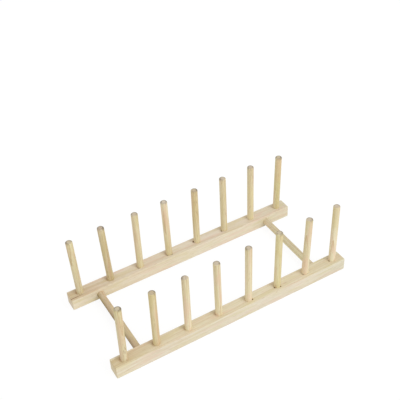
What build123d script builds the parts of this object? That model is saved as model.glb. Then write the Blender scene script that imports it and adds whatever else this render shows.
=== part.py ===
from build123d import *
import os

# Wooden thread cone stand: two square rails, held apart by two dowel spreaders, with a row of pegs on each rail.
# Millimetres. +X runs along the rails, +Y from the front rail to the back rail, and +Z up.
# The origin is on the surface that the stand rests on, midway between the rails and midway along them.

# Driving dimensions: the peg rows
pegs_per_rail = 8
peg_pitch = 39.0
end_margin = 13.5  # from the last peg's axis to the end of the rail

# Driving dimensions: the rails
rail_width = 16.0
rail_height = 16.0
rail_spacing = 114.0  # between the two rails' centre lines
rail_edge_radius = 0.9  # every edge is sanded round

# Driving dimensions: the pegs
peg_diameter = 8.0
peg_reach = 80.0  # from the rail's top face to the peg's tip
peg_socket_floor = 4.0  # wood left under a peg's socket
peg_tenon_diameter = 7.6  # the driven end is pressed smaller, which leaves a narrow shoulder
peg_tenon_chamfer = 0.6
peg_tip_chamfer = 1.0
peg_tip_radius = 0.5  # softens the edge between the chamfer and the sawn end

# Driving dimensions: the spreaders
spreader_diameter = 8.0
spreader_inward_shift = 1.5  # from midway between a rail's last two pegs, towards the middle of the rail
spreader_socket_floor = 7.0  # wood left behind a spreader's socket
spreader_tenon_diameter = 7.6
spreader_tenon_chamfer = 0.6

# Driving dimensions: the drilled sockets
glue_clearance = 0.05  # all round a tenon, taken up by glue
socket_mouth_chamfer = 0.35
cut_overrun = 1.0  # how far a cutting solid stands past the face that it enters

# Worked out from the driving dimensions
row_half_length = peg_pitch * (pegs_per_rail - 1) / 2
rail_length = 2 * (row_half_length + end_margin)
rail_centre_y = rail_spacing / 2
rail_inner_face_y = rail_centre_y - rail_width / 2
peg_row_x = [peg_pitch * place - row_half_length for place in range(pegs_per_rail)]
peg_seat_depth = rail_height - peg_socket_floor
spreader_seat_depth = rail_width - spreader_socket_floor
spreader_x = row_half_length - peg_pitch / 2 - spreader_inward_shift
spreader_axis_z = rail_height / 2


def socket_cutter(tenon_diameter, depth):
    """What the drill takes away: the mouth is at z = 0 and the flat floor at z = -depth."""
    radius = tenon_diameter / 2 + glue_clearance
    mouth_height = socket_mouth_chamfer + cut_overrun
    bore = Cylinder(radius, depth + cut_overrun, align=(Align.CENTER, Align.CENTER, Align.MIN))
    mouth = Cone(radius, radius + mouth_height, mouth_height, align=(Align.CENTER, Align.CENTER, Align.MIN))
    return Pos(Z=-depth) * bore + Pos(Z=-socket_mouth_chamfer) * mouth


def make_rail(centre_y, inward):
    """A square batten with blind sockets, on top for its pegs and on its inner side for the spreaders.

    inward points to the other rail: +1 along +Y or -1 along -Y.
    """
    batten = Box(rail_length, rail_width, rail_height, align=(Align.CENTER, Align.CENTER, Align.MIN))
    edge_radius = min(rail_edge_radius, rail_width / 3, rail_height / 3)
    rail = Pos(Y=centre_y) * fillet(batten.edges(), edge_radius)
    peg_socket = socket_cutter(peg_tenon_diameter, peg_seat_depth)
    for x in peg_row_x:
        rail -= Pos(x, centre_y, rail_height) * peg_socket
    spreader_socket = Rot(X=-90 * inward) * socket_cutter(spreader_tenon_diameter, spreader_seat_depth)
    for x in (-spreader_x, spreader_x):
        rail -= Pos(x, centre_y + inward * rail_width / 2, spreader_axis_z) * spreader_socket
    return rail


def turned(outline):
    """A round solid about Z, from the radius and height of each corner of its outline, lowest first."""
    corners = [(0, outline[0][1]), *outline, (0, outline[-1][1])]
    half_section = Polyline(*[(radius, 0, height) for radius, height in corners], close=True)
    return revolve(make_face(half_section), Axis.Z)


def tenon_outline(diameter, seat_depth, chamfer_size):
    """The outline of a driven end, from its bottom up to the shoulder at height 0."""
    radius = diameter / 2
    return [(radius - chamfer_size, -seat_depth), (radius, chamfer_size - seat_depth), (radius, 0)]


def make_peg(x, y):
    """An upright dowel: its tenon stands on the socket's floor and its shoulder is level with the rail's top."""
    radius = peg_diameter / 2
    tenon = tenon_outline(peg_tenon_diameter, peg_seat_depth, peg_tenon_chamfer)
    shaft = [(radius, 0), (radius, peg_reach - peg_tip_chamfer), (radius - peg_tip_chamfer, peg_reach)]
    peg = turned(tenon + shaft)
    tip_rim = peg.edges().filter_by(GeomType.CIRCLE).group_by(Axis.Z)[-1]
    peg = fillet(tip_rim, min(peg_tip_radius, peg_tip_chamfer / 2))
    return Pos(x, y, rail_height) * peg


def make_spreader(x):
    """A level dowel along Y: its shoulders meet the rails' inner faces and its tenons fill their sockets."""
    radius = spreader_diameter / 2
    tenon = tenon_outline(spreader_tenon_diameter, spreader_seat_depth, spreader_tenon_chamfer)
    front_end = [(r, along - rail_inner_face_y) for r, along in tenon]
    shaft = [(radius, -rail_inner_face_y), (radius, rail_inner_face_y)]
    back_end = [(r, -along) for r, along in reversed(front_end)]
    return Pos(x, 0, spreader_axis_z) * Rot(X=-90) * turned(front_end + shaft + back_end)


parts = {
    "rail_front": make_rail(-rail_centre_y, 1),
    "rail_back": make_rail(rail_centre_y, -1),
    "spreader_left": make_spreader(-spreader_x),
    "spreader_right": make_spreader(spreader_x),
}
for place, x in enumerate(peg_row_x, 1):
    parts[f"peg_front_{place}"] = make_peg(x, -rail_centre_y)
    parts[f"peg_back_{place}"] = make_peg(x, rail_centre_y)

os.makedirs("parts", exist_ok=True)
for node, shape in parts.items():
    export_step(shape, f"parts/{node}.step")
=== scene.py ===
"""Looks of the wooden thread cone stand. Metres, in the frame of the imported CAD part."""
import math

import bpy
import numpy as np
from mathutils import Matrix, Vector, noise


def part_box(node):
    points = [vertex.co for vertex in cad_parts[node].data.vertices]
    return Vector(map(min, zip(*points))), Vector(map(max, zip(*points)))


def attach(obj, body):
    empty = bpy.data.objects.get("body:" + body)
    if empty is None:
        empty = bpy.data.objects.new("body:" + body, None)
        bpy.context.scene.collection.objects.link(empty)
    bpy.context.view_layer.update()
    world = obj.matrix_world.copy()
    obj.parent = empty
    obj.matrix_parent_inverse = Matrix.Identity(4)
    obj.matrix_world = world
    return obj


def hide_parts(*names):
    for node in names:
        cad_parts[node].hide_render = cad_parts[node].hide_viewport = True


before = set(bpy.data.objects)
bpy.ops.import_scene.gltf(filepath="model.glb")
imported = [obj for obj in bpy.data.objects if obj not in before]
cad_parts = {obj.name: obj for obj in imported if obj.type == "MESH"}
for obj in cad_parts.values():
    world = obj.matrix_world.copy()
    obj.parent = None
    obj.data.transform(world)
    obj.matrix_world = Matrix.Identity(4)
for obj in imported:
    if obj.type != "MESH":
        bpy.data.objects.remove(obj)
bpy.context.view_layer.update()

MM = 0.001
ROWS = ("front", "back")

# Camera, as it stood for the photograph
CAMERA_PLACE = Vector((-0.3105, -0.5582, 0.6656))
CAMERA_AIM = Vector((0.0440, 0.0886, 0.0480))
CAMERA_ROLL = math.radians(-3.03)
CAMERA_LENS = 70.18  # in millimetres, as the sensor's width is
SENSOR_WIDTH = 36.0

# Light
SKY_LIGHT = 0.75  # strength of the even light from all round
KEY_LIGHT = 0.28  # strength of the softbox's light on the stand, whatever the softbox's distance
KEY_DIRECTION = (math.radians(28), math.radians(42))  # turned from -Y towards +X, and above the horizon
KEY_DISTANCE = 3.0
KEY_SIZE = 1.5

# Floor
FLOOR_HALF_SIZE = 6.0
FLOOR_COLOUR = 0.90  # for the light that it throws back on the stand
FLOOR_SEEN_COLOUR = 0.14  # for the light that the camera sees on it
FLOOR_GLOW = 0.89  # which the camera sees besides

# Rails: planed battens with sanded edges
RAIL_STEP = 1.25 * MM  # between the mesh's lines
EDGE_STEPS = 6  # of the mesh within reach of an edge
EDGE_RADIUS = 0.9 * MM
EDGE_RADIUS_SPREAD = 0.2 * MM
EDGE_WAVE_LENGTH = 25 * MM
EDGE_NICKS = 14
NICK_DEPTH = 0.45 * MM
NICK_DEPTH_SHARES = (0.3, 1.0)  # the least and the most of it
NICK_LENGTH = 0.8 * MM
NICK_LENGTH_SHARES = (0.5, 1.6)
FACE_WAVE = 0.05 * MM  # planing leaves the faces this uneven
FACE_WAVE_LENGTH = 30 * MM

# Drilled sockets
SOCKET_SIDES = 72
SOCKET_CLEARANCE = 0.05 * MM
MOUTH_DEPTH = 0.35 * MM
MOUTH_FLARE = 0.20 * MM
LEAST_FLARE = 0.5  # where the mouth is least ragged, as a share of MOUTH_FLARE
MOUTH_DENSITY = 4  # how fine its raggedness is
FIBRE_TEAR = 0.9 * MM  # fibres pulled out along the grain at the mouth
TEAR_DENSITY = 9
TEAR_NARROWNESS = 6  # a higher number keeps the torn fibres nearer to the grain's direction
CHIP_DEPTH = 2.2 * MM
CHIP_LEVELS = (1.0, 0.7, 0.4)  # depths at which a chip's wall has points, as shares of CHIP_DEPTH
CHIP_HALF_ANGLE = math.radians(17)
CHIP_CURVE = 0.7  # under 1, a chip widens fastest at its foot
LEAST_CHIP = 0.8  # where the mouth is least ragged, as a share of the chip's reach
CHIP_RAGGEDNESS = 0.4  # how much of its reach is added where the mouth is most ragged

# The mouth's profile: heights from the rail's face in mouth depths, and how much of the flare it has there
MOUTH_PROFILE = [(-1.0, 0), (-0.6, 0.18), (-0.25, 0.55), (0, 1.0), (1.0, 1.6)]

# Chips that the drill broke out of a socket's rim: angle from +X in degrees, and reach in millimetres
CHIPS = {
    "peg_front_5": [(-31, 1.7)],
    "peg_front_6": [(195, 1.5), (-51, 1.1)],
    "peg_front_7": [(205, 0.9)],
    "peg_front_8": [(190, 0.8)],
    "peg_back_3": [(212, 0.9)],
    "peg_back_4": [(205, 0.9), (-60, 0.8)],
    "peg_back_5": [(160, 2.4)],
    "peg_back_6": [(190, 1.4)],
}

# Dowels: pegs and spreaders
DOWEL_SIDES = 48
DOWEL_STEP = 2.0 * MM
TENON_STEP_IN = 0.2 * MM
TENON_CHAMFER = 0.6 * MM
FLATS = 0.045 * MM  # the rounding cutter leaves faint flats
FLATS_DENSITY = 2.0  # a higher number gives more of them round the dowel
FLATS_LENGTH = 42 * MM
FLATS_FADE = 2.0 * MM  # on the sawn ends they fade from this radius inwards
TIP_CHAMFER = 1.0 * MM
TIP_ROUND = 0.3 * MM
TIP_RINGS = 6
TIP_DENSITY = 1.2  # how fine the unevenness of the sanded tip is
TIP_SLOPE = 0.055  # the most that the sanding lowers the tip, as a share of the distance from its axis
TIP_NARROWED = 0.10 * MM  # the most that it moves the rim inwards
TIP_RIM_FROM = 2.5 * MM  # the rim begins this far from the peg's axis

# How far each peg's tip leans along +X and +Y in millimetres, from the left
LEANS = {
    "front": [
        (0.4, -2.4),
        (0.2, -1.5),
        (-0.6, -1.6),
        (-1.4, -1.2),
        (0.2, -0.2),
        (1.9, 1.2),
        (3.0, 1.0),
        (2.6, 2.4),
    ],
    "back": [
        (-1.7, -0.8),
        (-2.0, 1.3),
        (1.0, 1.6),
        (-0.2, 1.9),
        (0.5, 0.9),
        (0.3, 1.2),
        (0.7, 1.2),
        (0.9, -1.4),
    ],
}

# Seeds. Those of a row's pegs and sockets count up from these steps times the row's number, 1 or 2
PEG_SEED_STEP = 10
SOCKET_SEED_STEP = 20
SEED_SHIFT = (7.31, 3.77, 5.13)  # how far a seed moves the noise

# What is added to a piece's number or seed for its other draws
SPREADER_SEED = 60
SPREADER_SOCKET_SEED = 10
RAIL_GRAIN_SEED = 100
PEG_GRAIN_SEED = 200
SPREADER_GRAIN_SEED = 300
FACE_WAVE_SEED = 0.5
TEAR_SEED = 3.0
DARK_RIM_SEED = 5.0
TIP_SEED = 9.0

# Where a piece was cut from its tree
TRUNK_LEAN = 0.012  # how much the grain slopes against the piece's length, as a standard deviation
TRUNK_PLACES = (-0.5, 0.5)  # the lowest and the highest place along the trunk
PITH_DISTANCES = (25 * MM, 70 * MM)  # the least and the greatest distance from the trunk's middle

# Colours of bare wood, as a screen shows them: pale, deep, late, fleck and cut across
RAIL_COLOURS = [(237, 226, 196), (227, 212, 177), (210, 184, 140), (180, 146, 106), (230, 216, 185)]
PEG_COLOURS = [(238, 228, 193), (224, 209, 167), (202, 171, 124), (158, 118, 78), (209, 197, 178)]
SPREADER_COLOURS = [(219, 199, 162), (205, 180, 139), (182, 151, 108), (150, 112, 76), (184, 167, 137)]
PINK_BAND = (230, 198, 168)
YELLOW_BAND = (222, 207, 154)

# Noises in the wood: features per metre across the trunk both ways and along it, then detail and roughness
GRAIN_NOISE = {
    "warp": ((28, 28, 7), 2.0, 0.5),
    "streak": ((300, 300, 5), 3.0, 0.55),
    "fibre": ((2400, 2400, 45), 3.0, 0.6),
    "band": ((170, 170, 26), 2.0, 0.5),
    "pores": ((3200, 3200, 400), 1.0, 0.5),
    "fleck_groups": ((420, 420, 60), 2.0, 0.5),
}
FLECK_CELLS = (1100, 1100, 90)

# Growth rings
WARP_REACH = 6 * MM  # how far they may wander from circles, both ways together
LATE_WOOD = (0.55, 0.95)  # where a year's dark wood sets in and is in full, as shares of its ring
RING_EDGE = (1.0, 0.96)  # and where it has ended and is still in full
YEAR_STRENGTHS = (0.25, 1.0)  # of the faintest and the darkest year's line
YEAR_SHARE = 0.35  # how much a year's own tone counts

# Other patterns. Each sets in at the first value of its noise and reaches its share at the second
STREAK_RANGE = (0.36, 0.64)
STREAK_SHARE = 0.65
FIBRE_RANGE = (0.43, 0.66)
FIBRE_SHARE = 0.34
FLECK_RANGE = (0.34, 0.16)
FLECK_GROUP_RANGE = (0.48, 0.62)
PINK_RANGE = (0.50, 0.66)
YELLOW_RANGE = (0.48, 0.34)

# Wood cut across, on ends and in sockets
CUT_RANGE = (0.55, 0.9)  # how squarely such a surface faces along the grain
CUT_SHARE = 0.85
CUT_RING_SHARE = 0.75
PORE_RANGE = (0.5, 0.75)
PORE_SHARE = 0.35

# Sheen and fine relief
ROUGHNESS = (0.58, 0.68)
ROUGHNESS_RANGE = (0.3, 0.7)  # the values of the fibres' noise between which it changes
CUT_ROUGHNESS = 0.2  # what is added where the wood is cut across
SPECULAR = 0.15
FIBRE_RELIEF = 0.5
FLECK_RELIEF = -0.9
RING_RELIEF = 0.25
RELIEF_HEIGHT = 0.12 * MM
RELIEF_STRENGTH = 0.5

# How far below a rail's top the marks on it have faded out, and how far below they begin to fade
TOP_FADE = 1.5 * MM
TOP_FULL = 0.3 * MM

# Marks that follow the wood's patterns: two values of the pattern, and the mark's strength at each
HEART_IN_STREAKS = (0.40, 0.56, 0.25, 1.0)
HEART_END_IN_RINGS = (0.0, 0.6, 0.6, 1.0)
DARK_RIM_IN_GRAIN = (0.30, 0.60, 0.7, 1.0)

# Heartwood at the rails' left ends
HEART_COLOUR = (184, 154, 102)
HEART_SHARE = 0.45
HEART_FADE = -70 * MM  # in X, where it has faded out
HEART_END_COLOUR = (214, 186, 136)  # the same wood cut across
HEART_END_SHARE = 0.5
HEART_END_FADE = 9 * MM  # how far below the rail's top it has faded out on the end face
HEART_END_FULL = 2 * MM  # and how far below it begins to fade
END_SKIN = 1 * MM  # how far behind the end face it has faded out

# A thin streak of bark in the back rail's left end
POCKET_COLOUR = (150, 112, 74)
POCKET_Y = 51.5 * MM
POCKET_WANDER = 3 * MM  # how far it may wander from there, both ways together
POCKET_WIDTH = 0.7 * MM  # to each side of its middle
POCKET_CORE = 0.2  # the share of that width that has the full colour
POCKET_FADE = -131 * MM  # in X, where it has faded out
POCKET_FULL = 5 * MM  # from the rail's end, where it begins to fade

# Painted shadows of the pegs on top round the sockets, partly brown stains: darkest behind them on the left,
# with a faint wider painted shadow there.
# Their shares are given for a rail's left end and its right end.
SHADOW_AND_STAIN_COLOUR = (166, 126, 80)
SHADOW_AND_STAIN_SHARES = (0.60, 0.20)
SHADOW_AND_STAIN_REACH = 3.0 * MM  # from the peg's side
SHADOW_AND_STAIN_SIDE = (-0.6, 0.8)  # the direction of the darkest side
SHADOW_AND_STAIN_SIDE_RANGE = (-0.5, 0.9)  # cosines of the angle to it where the stain ends, and where it is in full
WIDE_SHADOW_COLOUR = (188, 162, 126)
WIDE_SHADOW_SHARES = (0.32, 0.12)
WIDE_SHADOW_CENTRE = (-1.5 * MM, 6.5 * MM)  # from the peg's axis
WIDE_SHADOW_REACH = 9 * MM  # from that centre

# Painted shade inside the sockets, on their walls just below the mouth
SOCKET_SHADE_COLOUR = (150, 104, 60)
SOCKET_SHADE_SHARE = 0.8
SOCKET_SHADE_FROM = 0.25 * MM  # below the rail's top
SOCKET_SHADE_FULL = 0.9 * MM

# Dark rims of the tips
DARK_RIM_COLOUR = (110, 97, 86)
DARK_RIM_SHARE = 0.85
DARK_RIM_REACH = 0.8 * MM  # down from the chamfer
DARK_RIM_INNER = 1.8 * MM  # it fades inwards to this far from the peg's axis
DARK_RIM_FULL = 2.7 * MM  # and begins to fade this far from it
DARK_RIM_SIDE = 0.5  # how much weaker it is a quarter turn away from its darkest side
DARK_RIM_PATCHES = 0.6  # how much stronger or weaker its patches are
DARK_RIM_DENSITY = 2.5  # how small the patches are

# Each peg's rim, from the left: its darkest side in degrees from +X, and how dark and wide it is
RIMS = {
    "front": [(20, 1.2), (40, 0.95), (120, 0.85), (30, 0.95), (70, 1.1), (20, 1.0), (25, 0.95), (40, 0.8)],
    "back": [(100, 1.0), (60, 1.25), (70, 1.0), (80, 1.4), (20, 1.1), (115, 0.95), (60, 1.1), (20, 1.3)],
}

# Tones by which the wood's colour is multiplied
TONES = {
    "plain": (1.0, 1.0, 1.0),
    "pale": (1.05, 1.07, 1.09),
    "palest": (1.10, 1.12, 1.18),
    "whitest": (1.14, 1.19, 1.29),
    "dull": (0.96, 0.95, 0.95),
    "straw": (1.0, 1.01, 0.94),
    "amber": (0.95, 0.92, 0.84),
    "ruddy": (0.91, 0.88, 0.87),
    "brown": (0.84, 0.80, 0.71),
    "olive": (0.96, 0.98, 0.83),
}

# Each peg's tones from its foot to its tip, from the left
PEG_TONES = {
    "front": [
        "dull straw",
        "amber",
        "whitest plain",
        "palest plain",
        "whitest palest plain",
        "straw",
        "palest plain",
        "whitest plain",
    ],
    "back": [
        "dull straw",
        "brown ruddy",
        "pale pale plain",
        "amber palest",
        "palest amber amber",
        "plain",
        "palest palest dull",
        "plain olive straw",
    ],
}

# The rails' tones on top and underneath; on their long sides, which are painted lighter and bluer as painted
# light; and from the left end to the right
RAIL_TONES = {"front": (1.0, 1.01, 1.03), "back": (0.99, 0.985, 1.08)}
RAIL_PAINTED_SIDE_TONES = {"front": (1.025, 1.06, 1.19), "back": (1.09, 1.12, 1.24)}
RAIL_LENGTH_TONES = [
    (1.03, 1.035, 1.02),
    (1.0, 1.0, 1.015),
    (0.995, 1.0, 1.005),
    (1.01, 1.03, 1.075),
    (1.005, 1.01, 1.035),
    (0.925, 0.96, 0.95),
]

# The spreaders' tones on their upper right, and on their lower left, where the left one has painted shade and
# the right one painted light
SPREADER_TONES = {"spreader_left": (1.08, 1.12, 1.23), "spreader_right": (1.10, 1.24, 1.43)}
SPREADER_PAINTED_SIDE_TONES = {"spreader_left": (0.54, 0.51, 0.42), "spreader_right": (1.28, 1.47, 1.72)}
SPREADER_PAINTED_SIDE = Vector((-0.87, 0, -0.50))  # the direction of that side

# How strong the flecks are, on most pieces and on single pegs
PLAIN_FLECKS = 0.4
PEG_FLECKS = {"peg_front_1": 0.9, "peg_back_5": 0.7, "peg_back_2": 0.6}

# The axis that the grain of each kind of piece runs along, and the angle from which its edges look sharp
GRAIN_AXIS = {"rail_wood": 0, "peg_wood": 2, "spreader_wood": 1}
SHARP_EDGE = {"rail_wood": math.radians(38), "peg_wood": math.radians(65), "spreader_wood": math.radians(65)}

# Places that the marks follow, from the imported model
peg_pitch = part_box("peg_front_2")[0].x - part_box("peg_front_1")[0].x
peg_radius = (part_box("peg_front_1")[1].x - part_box("peg_front_1")[0].x) / 2
rail_y = (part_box("rail_back")[0].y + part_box("rail_back")[1].y) / 2
rail_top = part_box("rail_back")[1].z
rail_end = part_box("rail_back")[1].x


# Small helpers

def smooth_noise(point, scale, seed):
    """Perlin noise from about -1 to 1. scale is the size of its features, in the units of point."""
    return noise.noise(Vector(point) / scale + Vector([seed * shift for shift in SEED_SHIFT]))


def noise_share(point, scale, seed):
    """The same noise from about 0 to 1."""
    return 0.5 + 0.5 * smooth_noise(point, scale, seed)


def clamped(value):
    return min(1.0, max(0.0, value))


def new_object(name, vertices, faces):
    mesh = bpy.data.meshes.new(name)
    mesh.from_pydata([tuple(v) for v in vertices], [], faces)
    mesh.validate()
    made = bpy.data.objects.new(name, mesh)
    bpy.context.scene.collection.objects.link(made)
    return made


def directions(sides):
    """Angles round a circle, each with the direction that it points in."""
    angles = [2 * math.pi * s / sides for s in range(sides)]
    return [(angle, Vector((math.cos(angle), math.sin(angle), 0))) for angle in angles]


def tube_faces(rings, sides):
    """The faces of a closed tube whose points come ring after ring."""
    faces = []
    for ring in range(rings - 1):
        for s in range(sides):
            t = (s + 1) % sides
            a, b = ring * sides, (ring + 1) * sides
            faces.append((a + s, a + t, b + t, b + s))
    faces.append(tuple(reversed(range(sides))))
    faces.append(tuple(range((rings - 1) * sides, rings * sides)))
    return faces


# Rails

def spaced(low, high, edge, step):
    """Places from low to high: close together within edge of both ends, and step apart between them."""
    corner = [edge * (1 - math.cos(math.pi / 2 * i / EDGE_STEPS)) for i in range(EDGE_STEPS + 1)]
    middle = np.linspace(low + edge, high - edge, max(2, round((high - low - 2 * edge) / step) + 1))
    places = [low + c for c in corner] + list(middle[1:-1]) + [high - c for c in reversed(corner)]
    return np.array(places)


def box_grid(xs, ys, zs):
    """A closed box of quads whose grid lines lie at xs, ys and zs."""
    index, points, faces = {}, [], []

    def point(i, j, k):
        if (i, j, k) not in index:
            index[i, j, k] = len(points)
            points.append((xs[i], ys[j], zs[k]))
        return index[i, j, k]

    last = (len(xs) - 1, len(ys) - 1, len(zs) - 1)
    for axis in range(3):
        a, b = [other for other in range(3) if other != axis]
        for end in (0, last[axis]):
            for p in range(last[a]):
                for q in range(last[b]):
                    corners = []
                    for dp, dq in ((0, 0), (1, 0), (1, 1), (0, 1)):
                        place = [0, 0, 0]
                        place[axis], place[a], place[b] = end, p + dp, q + dq
                        corners.append(point(*place))
                    outward = (end > 0) == (axis != 1)
                    faces.append(corners if outward else corners[::-1])
    return np.array(points), faces


def draw_nicks(low_x, high_x, seed):
    """Nicks in the long edges: place along them, which edge by its sides in Y and Z, depth and length."""
    random = np.random.default_rng(seed)
    return [
        (
            random.uniform(low_x, high_x),
            random.choice((-1, 1)),
            random.choice((-1, 1)),
            NICK_DEPTH * random.uniform(*NICK_DEPTH_SHARES),
            NICK_LENGTH * random.uniform(*NICK_LENGTH_SHARES),
        )
        for _ in range(EDGE_NICKS)
    ]


def edge_radius_at(x, side_y, side_z, seed, nicks):
    """How far the sanding went at a place along one of the four long edges."""
    radius = EDGE_RADIUS + EDGE_RADIUS_SPREAD * smooth_noise((x, side_y, side_z), EDGE_WAVE_LENGTH, seed)
    for nick_x, nick_side_y, nick_side_z, depth, length in nicks:
        if (nick_side_y, nick_side_z) == (side_y, side_z):
            radius += depth * math.exp(-(((x - nick_x) / length) ** 2))
    return radius


def make_batten(node, seed):
    """A rail before it is drilled."""
    low, high = (np.array(corner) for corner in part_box(node))
    widest_edge = EDGE_RADIUS + EDGE_RADIUS_SPREAD
    points, faces = box_grid(*[spaced(low[a], high[a], widest_edge, RAIL_STEP) for a in range(3)])
    centre, half = (low + high) / 2, (high - low) / 2
    nicks = draw_nicks(low[0], high[0], seed)
    for i, p in enumerate(points):
        local = p - centre
        sides = np.sign(local)
        radius = edge_radius_at(p[0], sides[1], sides[2], seed, nicks)
        core = np.clip(local, -(half - radius), half - radius)
        beyond = local - core
        reach = np.linalg.norm(beyond)
        if reach > 0:
            local = core + beyond / reach * min(reach, radius)
        wave = FACE_WAVE * noise_share(p, FACE_WAVE_LENGTH, seed + FACE_WAVE_SEED)
        points[i] = centre + local * (1 - wave / half)
    return new_object(node, points, faces)


def chip_reach(angle, height, chips):
    """How far the chips of a socket's rim reach out at an angle, and at a height below the mouth."""
    reach = 0.0
    for chip_angle, chip_size in chips:
        off = (angle - math.radians(chip_angle) + math.pi) % (2 * math.pi) - math.pi
        reach += chip_size * MM * math.exp(-((off / CHIP_HALF_ANGLE) ** 2))
    return reach * clamped(1 + height / CHIP_DEPTH) ** CHIP_CURVE


def socket_cutter(mouth, direction, radius, depth, seed, chips=()):
    """A drilled socket with a flared and torn mouth round the point mouth. direction points out of it."""
    direction = Vector(direction)
    along = Vector((1, 0, 0))
    across = direction.cross(along)
    levels = [(-depth, 0)] + [(-CHIP_DEPTH * share, 0) for share in CHIP_LEVELS]
    levels += [(MOUTH_DEPTH * height, flare) for height, flare in MOUTH_PROFILE]
    points = []
    for height, flare in levels:
        for angle, turn in directions(SOCKET_SIDES):
            ragged = noise_share(turn * MOUTH_DENSITY, 1.0, seed)
            tear = max(0.0, smooth_noise(turn * TEAR_DENSITY, 1.0, seed + TEAR_SEED))
            fibre = abs(turn.x) ** TEAR_NARROWNESS * tear
            out = radius + flare * (MOUTH_FLARE * (LEAST_FLARE + ragged) + FIBRE_TEAR * fibre)
            out += chip_reach(angle, height, chips) * (LEAST_CHIP + CHIP_RAGGEDNESS * ragged)
            points.append(Vector(mouth) + direction * height + (along * turn.x + across * turn.y) * out)
    return points, tube_faces(len(levels), SOCKET_SIDES)


def cut(batten, cutters):
    """Takes every cutter out of batten, and leaves it a plain mesh."""
    points, faces = [], []
    for cutter_points, cutter_faces in cutters:
        start = len(points)
        points += cutter_points
        faces += [tuple(start + v for v in face) for face in cutter_faces]
    tool = new_object("cutter", points, faces)
    modifier = batten.modifiers.new("sockets", "BOOLEAN")
    modifier.operation = "DIFFERENCE"
    modifier.solver = "EXACT"
    modifier.object = tool
    bpy.context.view_layer.update()
    evaluated = batten.evaluated_get(bpy.context.evaluated_depsgraph_get())
    drilled = bpy.data.meshes.new_from_object(evaluated)
    batten.modifiers.clear()
    batten.data = drilled
    bpy.data.objects.remove(tool)


def socket_radius(low, high):
    """The radius of the socket for a dowel whose box these are the corners of."""
    return (high.x - low.x) / 2 - TENON_STEP_IN + SOCKET_CLEARANCE


def make_rail(node, peg_nodes, spreader_nodes, seed):
    """A batten with a socket in its top for each peg and one in its inner side for each spreader."""
    batten = make_batten(node, seed)
    rail_low, rail_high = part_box(node)
    rail_centre = (rail_low + rail_high) / 2
    inward = -math.copysign(1, rail_centre.y)
    inner_y = rail_centre.y + inward * (rail_high.y - rail_low.y) / 2
    first_seed = seed * SOCKET_SEED_STEP
    cutters = []
    for i, peg in enumerate(peg_nodes):
        low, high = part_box(peg)
        radius = socket_radius(low, high)
        mouth = ((low.x + high.x) / 2, (low.y + high.y) / 2, rail_high.z)
        depth = rail_high.z - low.z
        cutters.append(socket_cutter(mouth, (0, 0, 1), radius, depth, first_seed + i, CHIPS.get(peg, ())))
    for i, spreader in enumerate(spreader_nodes):
        low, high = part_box(spreader)
        radius = socket_radius(low, high)
        end_y = high.y if inward < 0 else low.y
        mouth = ((low.x + high.x) / 2, inner_y, (low.z + high.z) / 2)
        depth = abs(end_y - inner_y)
        socket_seed = first_seed + SPREADER_SOCKET_SEED + i
        cutters.append(socket_cutter(mouth, (0, inward, 0), radius, depth, socket_seed))
    cut(batten, cutters)
    return batten


# Dowels

def sanded(radius, out, share, turn, seed):
    """How far uneven sanding lowers a point of the tip and moves it inwards. share is 1 at the very top."""
    uneven = noise_share(turn * TIP_DENSITY, 1.0, seed + TIP_SEED)
    lowered = TIP_SLOPE * out * uneven * share
    narrowed = TIP_NARROWED * uneven * share if radius > TIP_RIM_FROM else 0.0
    return lowered, narrowed


def dowel_mesh(name, outline, tip_from, seed, place, lean=(0.0, 0.0)):
    """A round piece. place moves it into the part's frame.

    outline lists (radius, height) from one end to the other. Above the height tip_from it gets the uneven
    sanding of a tip. From height 0 up, the piece leans, by lean in X and Y at its top.
    """
    points = []
    top = outline[-1][1]
    for radius, height in outline:
        for _, turn in directions(DOWEL_SIDES):
            where = turn * FLATS_DENSITY + Vector((0, 0, height / FLATS_LENGTH))
            out = radius - FLATS * noise_share(where, 1.0, seed) * min(1.0, radius / FLATS_FADE)
            up = height
            if height > tip_from:
                share = (height - tip_from) / (top - tip_from)
                lowered, narrowed = sanded(radius, out, share, turn, seed)
                up -= lowered
                out -= narrowed
            aside = Vector((*lean, 0)) * max(0.0, height) / top
            points.append(place @ (turn * out + aside + Vector((0, 0, up))))
    return new_object(name, points, tube_faces(len(outline), DOWEL_SIDES))


def tip_outline(radius, top):
    """The chamfered tip with a small arc at each edge, and the sawn end's rings, from the shaft inwards."""
    flat = radius - TIP_CHAMFER
    corner = [
        (radius, top - TIP_CHAMFER - TIP_ROUND),
        (radius - 0.12 * TIP_ROUND, top - TIP_CHAMFER - 0.3 * TIP_ROUND),
        (radius - 0.6 * TIP_CHAMFER, top - 0.42 * TIP_CHAMFER),
        (flat + 0.15 * TIP_ROUND, top - 0.35 * TIP_ROUND),
        (flat - 0.5 * TIP_ROUND, top - 0.05 * TIP_ROUND),
    ]
    end = [(flat * (1 - (i + 1) / (TIP_RINGS + 1)), top) for i in range(TIP_RINGS)]
    return corner + end


def make_peg(node, seat, seed, lean, rim):
    """A peg whose shoulder stands at the height seat."""
    low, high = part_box(node)
    radius = (high.x - low.x) / 2
    bottom, top = low.z - seat, high.z - seat
    tenon = radius - TENON_STEP_IN
    outline = [(tenon - TENON_CHAMFER, bottom), (tenon, bottom + TENON_CHAMFER), (tenon, 0), (radius, 0)]
    shaft_top = top - TIP_CHAMFER - TIP_ROUND
    steps = round(shaft_top / DOWEL_STEP)
    outline += [(radius, shaft_top * (i + 1) / steps) for i in range(steps - 1)]
    outline += tip_outline(radius, top)
    place = Matrix.Translation(((low.x + high.x) / 2, (low.y + high.y) / 2, seat))
    peg = dowel_mesh(node, outline, top - TIP_CHAMFER, seed, place, lean)
    set_dark_rim(peg, place @ Vector((*lean, top)), seed, *rim)
    return peg


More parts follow.
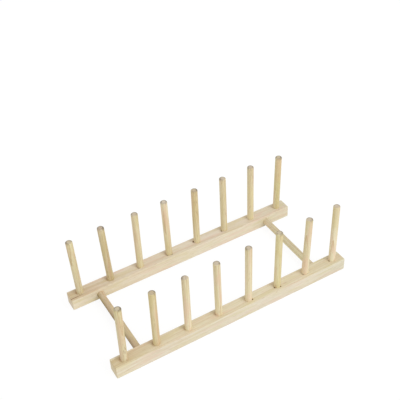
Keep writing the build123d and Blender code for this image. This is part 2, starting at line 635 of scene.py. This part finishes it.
def make_spreader(node, seed):
    low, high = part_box(node)
    radius = (high.x - low.x) / 2
    half = (high.y - low.y) / 2
    rail_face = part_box("rail_back")[0].y
    tenon = radius - TENON_STEP_IN
    steps = round(2 * rail_face / DOWEL_STEP)
    end = [(tenon - TENON_CHAMFER, -half), (tenon, TENON_CHAMFER - half), (tenon, -rail_face)]
    middle = [(radius, -rail_face + 2 * rail_face * i / steps) for i in range(steps + 1)]
    outline = end + middle + [(r, -h) for r, h in reversed(end)]
    centre = Matrix.Translation(((low.x + high.x) / 2, 0, (low.z + high.z) / 2))
    no_tip = 2 * half  # a height that it doesn't reach
    return dowel_mesh(node, outline, no_tip, seed, centre @ Matrix.Rotation(-math.pi / 2, 4, "X"))


def set_dark_rim(peg, tip, seed, darkest, amount):
    """Marks the sanded rim of a peg's tip, which is darker in patches, most on one side."""
    mesh = peg.data
    shares = []
    for v in mesh.vertices:
        from_tip = v.co - tip
        out = Vector((from_tip.x, from_tip.y, 0))
        side = math.cos(math.atan2(out.y, out.x) - math.radians(darkest))
        patches = smooth_noise(out.normalized() * DARK_RIM_DENSITY, 1.0, seed + DARK_RIM_SEED)
        patch = amount - DARK_RIM_SIDE + DARK_RIM_SIDE * side + DARK_RIM_PATCHES * patches
        down = (TIP_CHAMFER + DARK_RIM_REACH + from_tip.z) / DARK_RIM_REACH
        inward = (out.length - DARK_RIM_INNER) / (DARK_RIM_FULL - DARK_RIM_INNER)
        shares.append(clamped(patch) * clamped(down) * clamped(inward))
    dark_rim = mesh.attributes.new("dark_rim", "FLOAT", "POINT")
    dark_rim.data.foreach_set("value", shares)


# Grain and tone of each piece

def set_grain(piece, axis, seed):
    """Writes each vertex's place in the tree for the wood material, in metres, with the trunk along Z."""
    random = np.random.default_rng(seed)
    mesh = piece.data
    points = np.zeros(len(mesh.vertices) * 3)
    mesh.vertices.foreach_get("co", points)
    points = points.reshape(-1, 3)
    points = points - points.mean(0)
    local = points[:, [(axis + 1) % 3, (axis + 2) % 3, axis]]
    turn = random.uniform(0, 2 * math.pi)
    lean_x, lean_y = random.normal(0, TRUNK_LEAN, 2)
    spun = np.empty_like(local)
    spun[:, 0] = local[:, 0] * math.cos(turn) - local[:, 1] * math.sin(turn) + lean_x * local[:, 2]
    spun[:, 1] = local[:, 0] * math.sin(turn) + local[:, 1] * math.cos(turn) + lean_y * local[:, 2]
    spun[:, 2] = local[:, 2] + random.uniform(*TRUNK_PLACES)
    spun[:, 0] += random.uniform(*PITH_DISTANCES)
    grain = mesh.attributes.new("grain", "FLOAT_VECTOR", "POINT")
    grain.data.foreach_set("vector", spun.astype(np.float32).ravel())


def tones_along(piece, axis, start, stops):
    """Each vertex's tone, where tones follow one another at even steps from start to the piece's far end."""
    places = np.array([v.co[axis] for v in piece.data.vertices])
    steps = np.linspace(start, places.max(), len(stops))
    return np.stack([np.interp(places, steps, channel) for channel in np.transpose(stops)], axis=-1)


def tones_with_painted_sides(piece, tone, painted_side_tone, painted_side_share):
    """Each vertex's tone on a piece that is painted another tone on some sides, as painted light and shade:
    the share function given says where.
    """
    share = np.array([painted_side_share(v.normal) for v in piece.data.vertices])[:, None]
    return np.array(tone) * (1 - share) + np.array(painted_side_tone) * share


# Where the rails' long sides get their painted light
def rail_painted_side_share(normal):
    return abs(normal.y)


# Where the spreaders' painted shade or light goes
def spreader_painted_side_share(normal):
    return (0.5 + 0.5 * normal.dot(SPREADER_PAINTED_SIDE)) ** 2


def set_tone(piece, tones, fleck_share):
    """Writes each vertex's tone and how strong the piece's flecks are."""
    mesh = piece.data
    colour = mesh.attributes.new("tone", "FLOAT_VECTOR", "POINT")
    colour.data.foreach_set("vector", tones.astype(np.float32).ravel())
    flecks = mesh.attributes.new("fleck_share", "FLOAT", "POINT")
    flecks.data.foreach_set("value", np.full(len(mesh.vertices), fleck_share, np.float32))


# Materials

class Shader:
    """Short names for the nodes that a material or the world is made of."""

    def __init__(self, owner, output_kind):
        owner.use_nodes = True
        self.tree = owner.node_tree
        self.tree.nodes.clear()
        self.output = self.tree.nodes.new(output_kind)

    def node(self, kind, inputs=(), **settings):
        made = self.tree.nodes.new(kind)
        for key, value in settings.items():
            setattr(made, key, value)
        for key, value in dict(inputs).items():
            self.put(made.inputs[key], value)
        return made

    def put(self, socket, value):
        if isinstance(value, bpy.types.NodeSocket):
            self.tree.links.new(value, socket)
        else:
            socket.default_value = value

    def show(self, surface):
        self.put(self.output.inputs["Surface"], surface.outputs[0])

    def attribute(self, name):
        return self.node("ShaderNodeAttribute", attribute_name=name).outputs["Vector"]

    def attribute_number(self, name):
        return self.node("ShaderNodeAttribute", attribute_name=name).outputs["Fac"]

    def math(self, operation, *values):
        made = self.node("ShaderNodeMath", operation=operation)
        for i, value in enumerate(values):
            self.put(made.inputs[i], value)
        return made.outputs[0]

    def product(self, first, *others):
        for other in others:
            first = self.math("MULTIPLY", first, other)
        return first

    def length(self, across, away):
        """How long the line is that goes so far each way."""
        return self.math("SQRT", self.math("ADD", self.product(across, across), self.product(away, away)))

    def vector(self, operation, *values):
        made = self.node("ShaderNodeVectorMath", operation=operation)
        for i, value in enumerate(values):
            self.put(made.inputs[i], value)
        return made.outputs["Value" if operation in ("LENGTH", "DOT_PRODUCT") else "Vector"]

    def grain_noise(self, grain, pattern):
        """One of the wood's noises, with a number and a colour as its outputs."""
        scale, detail, roughness = GRAIN_NOISE[pattern]
        place = self.vector("MULTIPLY", grain, scale)
        inputs = {"Vector": place, "Scale": 1.0, "Detail": detail, "Roughness": roughness}
        return self.node("ShaderNodeTexNoise", inputs).outputs

    def range(self, value, low, high, to_low=0.0, to_high=1.0):
        """Goes softly from to_low to to_high while value goes from low to high."""
        made = self.node("ShaderNodeMapRange", interpolation_type="SMOOTHSTEP")
        for i, v in enumerate((value, low, high, to_low, to_high)):
            self.put(made.inputs[i], v)
        return made.outputs[0]

    def mix(self, share, first, second, blend="MIX"):
        made = self.node("ShaderNodeMix", data_type="RGBA", blend_type=blend)
        self.put(made.inputs[0], share)
        self.put(made.inputs[6], first)
        self.put(made.inputs[7], second)
        return made.outputs[2]


def linear(red, green, blue):
    """A colour from its 0 to 255 values as a screen shows them."""
    parts = []
    for value in (red, green, blue):
        v = value / 255
        parts.append(v / 12.92 if v <= 0.04045 else ((v + 0.055) / 1.055) ** 2.4)
    return (*parts, 1.0)


def grey(value):
    return (value, value, value, 1)


def ring_pattern(s, grain, ring_width):
    """How dark the late wood's line is at each place, and a number from 0 to 1 for each year's growth."""
    warp = s.vector("SUBTRACT", s.grain_noise(grain, "warp")["Color"], (0.5, 0.5, 0.5))
    warp = s.vector("MULTIPLY", warp, (WARP_REACH, WARP_REACH, 0))
    from_pith = s.vector("MULTIPLY", s.vector("ADD", grain, warp), (1, 1, 0))
    ring = s.math("DIVIDE", s.vector("LENGTH", from_pith), ring_width)
    year = s.math("FLOOR", ring)
    season = s.math("SUBTRACT", ring, year)
    own = s.node("ShaderNodeTexWhiteNoise", {"W": year}, noise_dimensions="1D").outputs["Value"]
    line = s.product(s.range(season, *LATE_WOOD), s.range(season, *RING_EDGE))
    return s.product(line, s.range(own, 0.0, 1.0, *YEAR_STRENGTHS)), own


def fleck_pattern(s, grain):
    """Short brown flecks along the grain, in scattered groups."""
    cells = s.node("ShaderNodeTexVoronoi", {"Vector": s.vector("MULTIPLY", grain, FLECK_CELLS), "Scale": 1.0})
    groups = s.grain_noise(grain, "fleck_groups")["Fac"]
    flecks = s.product(s.range(cells.outputs["Distance"], *FLECK_RANGE), s.range(groups, *FLECK_GROUP_RANGE))
    return s.product(flecks, s.attribute_number("fleck_share"))


def wood_patterns(s, ring_width):
    """What the wood's colour and relief are made of, each from 0 to 1."""
    grain = s.attribute("grain")
    line, year = ring_pattern(s, grain, ring_width)
    patterns = {"line": line, "year": year, "flecks": fleck_pattern(s, grain)}
    for name in ("streak", "fibre", "band", "pores"):
        patterns[name] = s.grain_noise(grain, name)["Fac"]
    return patterns


def facing_share(s, axis, low, high):
    """0 to 1 as the surface turns to face along an axis, either way."""
    normal = s.node("ShaderNodeNewGeometry").outputs["Normal"]
    along = [float(other == axis) for other in range(3)]
    return s.range(s.math("ABSOLUTE", s.vector("DOT_PRODUCT", normal, along)), low, high)


def heartwood(s, colour, place, on_top, patterns):
    """Yellow-brown streaks on top of a rail's left end and down its end face."""
    x, _, z = place
    in_streaks = s.product(on_top, s.range(patterns["streak"], *HEART_IN_STREAKS))
    heart = s.product(s.range(x, HEART_FADE, -rail_end), in_streaks, HEART_SHARE)
    colour = s.mix(heart, colour, linear(*HEART_COLOUR))
    down = s.range(z, rail_top - HEART_END_FADE, rail_top - HEART_END_FULL)
    on_end = s.product(down, s.range(x, -rail_end + END_SKIN, -rail_end))
    in_rings = s.product(on_end, s.range(patterns["line"], *HEART_END_IN_RINGS), HEART_END_SHARE)
    return s.mix(in_rings, colour, linear(*HEART_END_COLOUR))


def bark_pocket(s, colour, place, on_top, patterns):
    """A thin brown streak on top of the back rail's left end."""
    x, y, _ = place
    middle = s.math("MULTIPLY_ADD", s.math("SUBTRACT", patterns["streak"], 0.5), POCKET_WANDER, POCKET_Y)
    beside = s.math("ABSOLUTE", s.math("SUBTRACT", y, middle))
    near = s.range(beside, POCKET_WIDTH, POCKET_CORE * POCKET_WIDTH)
    at_end = s.range(x, POCKET_FADE, -rail_end + POCKET_FULL)
    return s.mix(s.product(near, at_end, on_top), colour, linear(*POCKET_COLOUR))


def socket_shadows_and_stains(s, colour, place, on_top):
    """Painted shadows of the pegs on top of a rail round its sockets, partly brown stains, and painted shade
    inside the sockets.
    """
    x, y, z = place
    across = s.math("WRAP", s.math("SUBTRACT", x, peg_pitch / 2), peg_pitch / 2, -peg_pitch / 2)
    away = s.math("SUBTRACT", y, s.product(s.math("SIGN", y), rail_y))
    # A faint wide painted shadow behind each peg on the left
    aside, behind = [s.math("SUBTRACT", far, near) for far, near in zip((across, away), WIDE_SHADOW_CENTRE)]
    wide_shadow = s.product(s.range(s.length(aside, behind), WIDE_SHADOW_REACH, peg_radius), on_top)
    wide_shadow = s.product(wide_shadow, s.range(x, -rail_end, rail_end, *WIDE_SHADOW_SHARES))
    colour = s.mix(wide_shadow, colour, linear(*WIDE_SHADOW_COLOUR))

    # Painted contact shadow round each peg, partly a brown stain, darkest behind it on the left
    distance = s.length(across, away)
    ring = s.product(s.range(distance, peg_radius + SHADOW_AND_STAIN_REACH, peg_radius), on_top)
    toward = s.math("MULTIPLY_ADD", across, SHADOW_AND_STAIN_SIDE[0], s.product(away, SHADOW_AND_STAIN_SIDE[1]))
    side = s.range(s.math("DIVIDE", toward, distance), *SHADOW_AND_STAIN_SIDE_RANGE)
    ring = s.product(ring, side, s.range(x, -rail_end, rail_end, *SHADOW_AND_STAIN_SHARES))
    colour = s.mix(ring, colour, linear(*SHADOW_AND_STAIN_COLOUR))

    # Painted shade on the socket's wall below its mouth
    inside = s.math("LESS_THAN", distance, peg_radius + SHADOW_AND_STAIN_REACH)
    socket_shade = s.product(inside, s.range(z, rail_top - SOCKET_SHADE_FROM, rail_top - SOCKET_SHADE_FULL), SOCKET_SHADE_SHARE)
    return s.mix(socket_shade, colour, linear(*SOCKET_SHADE_COLOUR))


def rail_marks(s, colour, patterns):
    """What the rails have besides plain wood, with painted shadows and shade round the sockets."""
    coordinates = s.node("ShaderNodeTexCoord").outputs["Object"]
    place = s.node("ShaderNodeSeparateXYZ", {0: coordinates}).outputs
    on_top = s.range(place[2], rail_top - TOP_FADE, rail_top - TOP_FULL)
    colour = heartwood(s, colour, place, on_top, patterns)
    colour = bark_pocket(s, colour, place, on_top, patterns)
    # Heartwood and bark are the wood's own; round the sockets the marks are painted shadows and shade
    return socket_shadows_and_stains(s, colour, place, on_top)


def tip_marks(s, colour, patterns):
    """The dark rim of a peg's tip."""
    in_grain = s.range(s.math("MAXIMUM", patterns["streak"], patterns["line"]), *DARK_RIM_IN_GRAIN)
    dark_rim = s.product(s.attribute_number("dark_rim"), in_grain, DARK_RIM_SHARE)
    return s.mix(dark_rim, colour, linear(*DARK_RIM_COLOUR))


def wood_colour(s, patterns, end_grain, colours, ring_share, band_share):
    """Bare wood, duller where it is cut across. colours are its pale, deep, late, fleck and cut wood."""
    pale, deep, late, fleck, cut_across = [linear(*c) for c in colours]
    in_streaks = s.range(patterns["streak"], *STREAK_RANGE, 0.0, STREAK_SHARE)
    colour = s.mix(s.math("MULTIPLY_ADD", patterns["year"], YEAR_SHARE, in_streaks), pale, deep)
    colour = s.mix(s.product(patterns["line"], ring_share), colour, late)
    colour = s.mix(s.range(patterns["fibre"], *FIBRE_RANGE, 0.0, FIBRE_SHARE), colour, late)
    colour = s.mix(patterns["flecks"], colour, fleck)
    colour = s.mix(s.range(patterns["band"], *PINK_RANGE, 0.0, band_share), colour, linear(*PINK_BAND))
    colour = s.mix(s.range(patterns["band"], *YELLOW_RANGE, 0.0, band_share), colour, linear(*YELLOW_BAND))
    cut_colour = s.mix(s.product(patterns["line"], CUT_RING_SHARE), cut_across, late)
    cut_colour = s.mix(s.range(patterns["pores"], *PORE_RANGE, 0.0, PORE_SHARE), cut_colour, fleck)
    return s.mix(s.product(end_grain, CUT_SHARE), colour, cut_colour)


def wood_bump(s, patterns):
    """Raised fibres and rings, and sunken flecks."""
    relief = s.product(patterns["flecks"], FLECK_RELIEF)
    relief = s.math("MULTIPLY_ADD", patterns["fibre"], FIBRE_RELIEF, relief)
    relief = s.math("MULTIPLY_ADD", patterns["line"], RING_RELIEF, relief)
    inputs = {"Strength": RELIEF_STRENGTH, "Distance": RELIEF_HEIGHT, "Height": relief}
    return s.node("ShaderNodeBump", inputs).outputs["Normal"]


def wood(slot, colours, ring_width, ring_share, band_share, marks=None):
    """The material of a slot. marks adds what only this kind of piece has."""
    material = bpy.data.materials.new(slot)
    s = Shader(material, "ShaderNodeOutputMaterial")
    patterns = wood_patterns(s, ring_width)
    end_grain = facing_share(s, GRAIN_AXIS[slot], *CUT_RANGE)
    colour = wood_colour(s, patterns, end_grain, colours, ring_share, band_share)
    if marks:
        colour = marks(s, colour, patterns)
    roughness = s.range(patterns["fibre"], *ROUGHNESS_RANGE, *ROUGHNESS)
    inputs = {
        "Base Color": s.mix(1.0, colour, s.attribute("tone"), "MULTIPLY"),
        "Roughness": s.math("ADD", roughness, s.product(end_grain, CUT_ROUGHNESS)),
        "Normal": wood_bump(s, patterns),
        "Specular IOR Level": SPECULAR,
    }
    s.show(s.node("ShaderNodeBsdfPrincipled", inputs))
    return material


def seen_share(s):
    """1 where the camera looks straight at a surface, or sees it in a reflection or through glass."""
    path = s.node("ShaderNodeLightPath").outputs
    straight = s.math("MAXIMUM", path["Is Camera Ray"], path["Is Glossy Ray"])
    return s.math("MAXIMUM", straight, path["Is Transmission Ray"])


def floor_material():
    """A pale floor. The camera sees it white, with the object's soft shadow."""
    material = bpy.data.materials.new("floor_paint")
    s = Shader(material, "ShaderNodeOutputMaterial")
    lit = s.node("ShaderNodeBsdfDiffuse", {"Color": grey(FLOOR_COLOUR)})
    shade = s.node("ShaderNodeBsdfDiffuse", {"Color": grey(FLOOR_SEEN_COLOUR)})
    glow = s.node("ShaderNodeEmission", {"Color": grey(1), "Strength": FLOOR_GLOW})
    seen = s.node("ShaderNodeAddShader", {0: shade.outputs[0], 1: glow.outputs[0]})
    s.show(s.node("ShaderNodeMixShader", {0: seen_share(s), 1: lit.outputs[0], 2: seen.outputs[0]}))
    return material


# Stage, light and camera

def make_floor():
    corners = [(x * FLOOR_HALF_SIZE, y * FLOOR_HALF_SIZE, 0) for x, y in ((-1, -1), (1, -1), (1, 1), (-1, 1))]
    floor = new_object("floor", corners, [(0, 1, 2, 3)])
    floor.data.materials.append(floor_material())


def make_sky():
    """Even light from all round. The camera sees it white."""
    world = bpy.data.worlds.new("sky")
    bpy.context.scene.world = world
    s = Shader(world, "ShaderNodeOutputWorld")
    strength = s.range(seen_share(s), 0.0, 1.0, SKY_LIGHT, 1.0)
    s.show(s.node("ShaderNodeBackground", {"Color": grey(1), "Strength": strength}))


def make_key_light():
    turned, raised = KEY_DIRECTION
    level = math.cos(raised)
    toward = Vector((math.sin(turned) * level, -math.cos(turned) * level, math.sin(raised)))
    lamp = bpy.data.lights.new("softbox", "AREA")
    lamp.shape = "SQUARE"
    lamp.size = KEY_SIZE
    # Its light thins out with the distance squared
    lamp.energy = KEY_LIGHT * math.pi * KEY_DISTANCE**2 * math.pi
    softbox = bpy.data.objects.new("softbox", lamp)
    softbox.location = toward * KEY_DISTANCE
    softbox.rotation_mode = "QUATERNION"
    softbox.rotation_quaternion = toward.to_track_quat("Z", "Y")
    bpy.context.scene.collection.objects.link(softbox)


def make_camera():
    data = bpy.data.cameras.new("camera")
    data.lens = CAMERA_LENS
    data.sensor_width = SENSOR_WIDTH
    camera = bpy.data.objects.new("camera", data)
    back = (CAMERA_PLACE - CAMERA_AIM).normalized()
    turn = back.to_track_quat("Z", "Y").to_matrix().to_4x4()
    camera.matrix_world = Matrix.Translation(CAMERA_PLACE) @ turn @ Matrix.Rotation(CAMERA_ROLL, 4, "Z")
    bpy.context.scene.collection.objects.link(camera)
    bpy.context.scene.camera = camera


# The pieces

MATERIALS = {
    "rail_wood": wood(
        "rail_wood",
        RAIL_COLOURS,
        ring_width=2.4 * MM,
        ring_share=0.30,
        band_share=0.40,
        marks=rail_marks,
    ),
    "peg_wood": wood(
        "peg_wood",
        PEG_COLOURS,
        ring_width=2.0 * MM,
        ring_share=0.70,
        band_share=0.55,
        marks=tip_marks,
    ),
    "spreader_wood": wood(
        "spreader_wood",
        SPREADER_COLOURS,
        ring_width=2.0 * MM,
        ring_share=0.70,
        band_share=0.40,
    ),
}


def node_names(start):
    return sorted(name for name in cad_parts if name.startswith(start))


def finish_piece(piece, node, slot, seed):
    piece.data.shade_smooth()
    piece.data.set_sharp_from_angle(angle=SHARP_EDGE[slot])
    set_grain(piece, GRAIN_AXIS[slot], seed)
    piece.data.materials.clear()
    piece.data.materials.append(MATERIALS[slot])
    piece.name = node + "_wood"
    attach(piece, "root")
    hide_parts(node)


def add_rail(row, pegs, spreaders, seed):
    node = f"rail_{row}"
    rail = make_rail(node, pegs, spreaders, seed)
    finish_piece(rail, node, "rail_wood", RAIL_GRAIN_SEED + seed)
    # The long sides get painted light
    tones = tones_with_painted_sides(rail, RAIL_TONES[row], RAIL_PAINTED_SIDE_TONES[row], rail_painted_side_share)
    set_tone(rail, tones * tones_along(rail, 0, -rail_end, RAIL_LENGTH_TONES), PLAIN_FLECKS)


def add_peg(node, row, i, seed):
    lean = [aside * MM for aside in LEANS[row][i]]
    peg = make_peg(node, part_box(f"rail_{row}")[1].z, seed, lean, RIMS[row][i])
    finish_piece(peg, node, "peg_wood", PEG_GRAIN_SEED + seed)
    stops = [TONES[name] for name in PEG_TONES[row][i].split()]
    set_tone(peg, tones_along(peg, 2, rail_top, stops), PEG_FLECKS.get(node, PLAIN_FLECKS))


def add_spreader(node, i):
    spreader = make_spreader(node, SPREADER_SEED + i)
    finish_piece(spreader, node, "spreader_wood", SPREADER_GRAIN_SEED + i)
    # The lower left side gets painted shade on the left spreader and painted light on the right one
    tones = tones_with_painted_sides(spreader, SPREADER_TONES[node], SPREADER_PAINTED_SIDE_TONES[node], spreader_painted_side_share)
    set_tone(spreader, tones, PLAIN_FLECKS)


def add_pieces():
    spreaders = node_names("spreader_")
    for seed, row in enumerate(ROWS, 1):
        pegs = node_names(f"peg_{row}_")
        add_rail(row, pegs, spreaders, seed)
        for i, peg in enumerate(pegs):
            add_peg(peg, row, i, PEG_SEED_STEP * seed + i)
    for i, spreader in enumerate(spreaders):
        add_spreader(spreader, i)


add_pieces()
make_floor()
make_sky()
make_key_light()
make_camera()
bpy.context.scene.view_settings.view_transform = "Standard"
